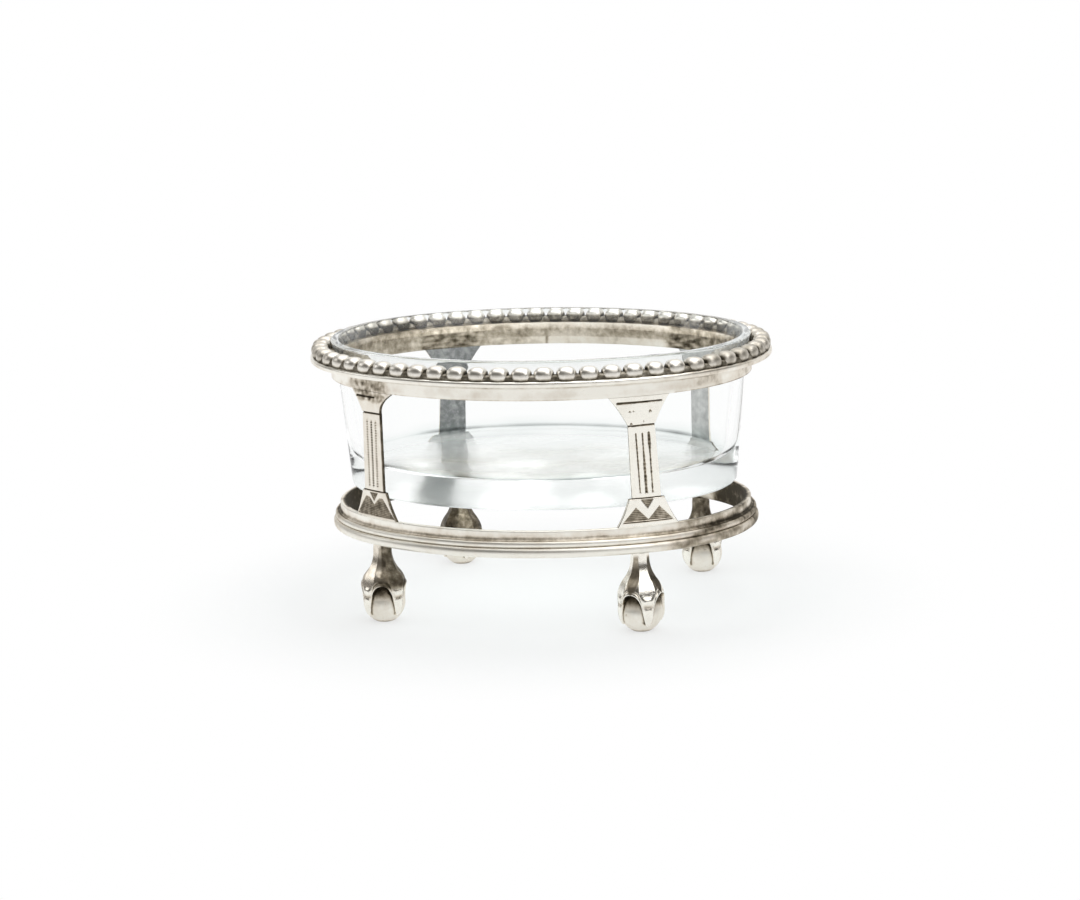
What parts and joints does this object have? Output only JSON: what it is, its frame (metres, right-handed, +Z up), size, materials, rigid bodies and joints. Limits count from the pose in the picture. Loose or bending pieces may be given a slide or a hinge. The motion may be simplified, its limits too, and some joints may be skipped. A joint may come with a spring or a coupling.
{
  "type": "salt cellar",
  "caption": "Oval open-frame table salt with a beaded rim, engraved pilasters and claw-and-ball feet, holding a clear glass liner that lifts out.",
  "frame": {"origin": "on the table, under the middle of the oval", "axes": "+X along the oval's length, +Y towards the rear, +Z up"},
  "size_m": [0.082, 0.068, 0.0472],
  "materials": {
    "silver": "aged polished silver",
    "glass": "clear pressed glass"
  },
  "bodies": {
    "frame": {"upper_band": "silver", "lower_band": "silver", "rim_flange": "silver", "bead_border": "silver", "base_moulding": "silver", "pilaster_front_left": "silver", "pilaster_front_right": "silver", "pilaster_rear_left": "silver", "pilaster_rear_right": "silver", "claw_front_left": "silver", "claw_front_right": "silver", "claw_rear_left": "silver", "claw_rear_right": "silver", "ball_front_left": "silver", "ball_front_right": "silver", "ball_rear_left": "silver", "ball_rear_right": "silver"},
    "liner": {"glass_liner": "glass"}
  },
  "joints": [
    {"name": "liner_lift", "type": "slide", "parent": "frame", "child": "liner", "axis": [0, 0, 1], "range_m": [0, 0.045]}
  ]
}
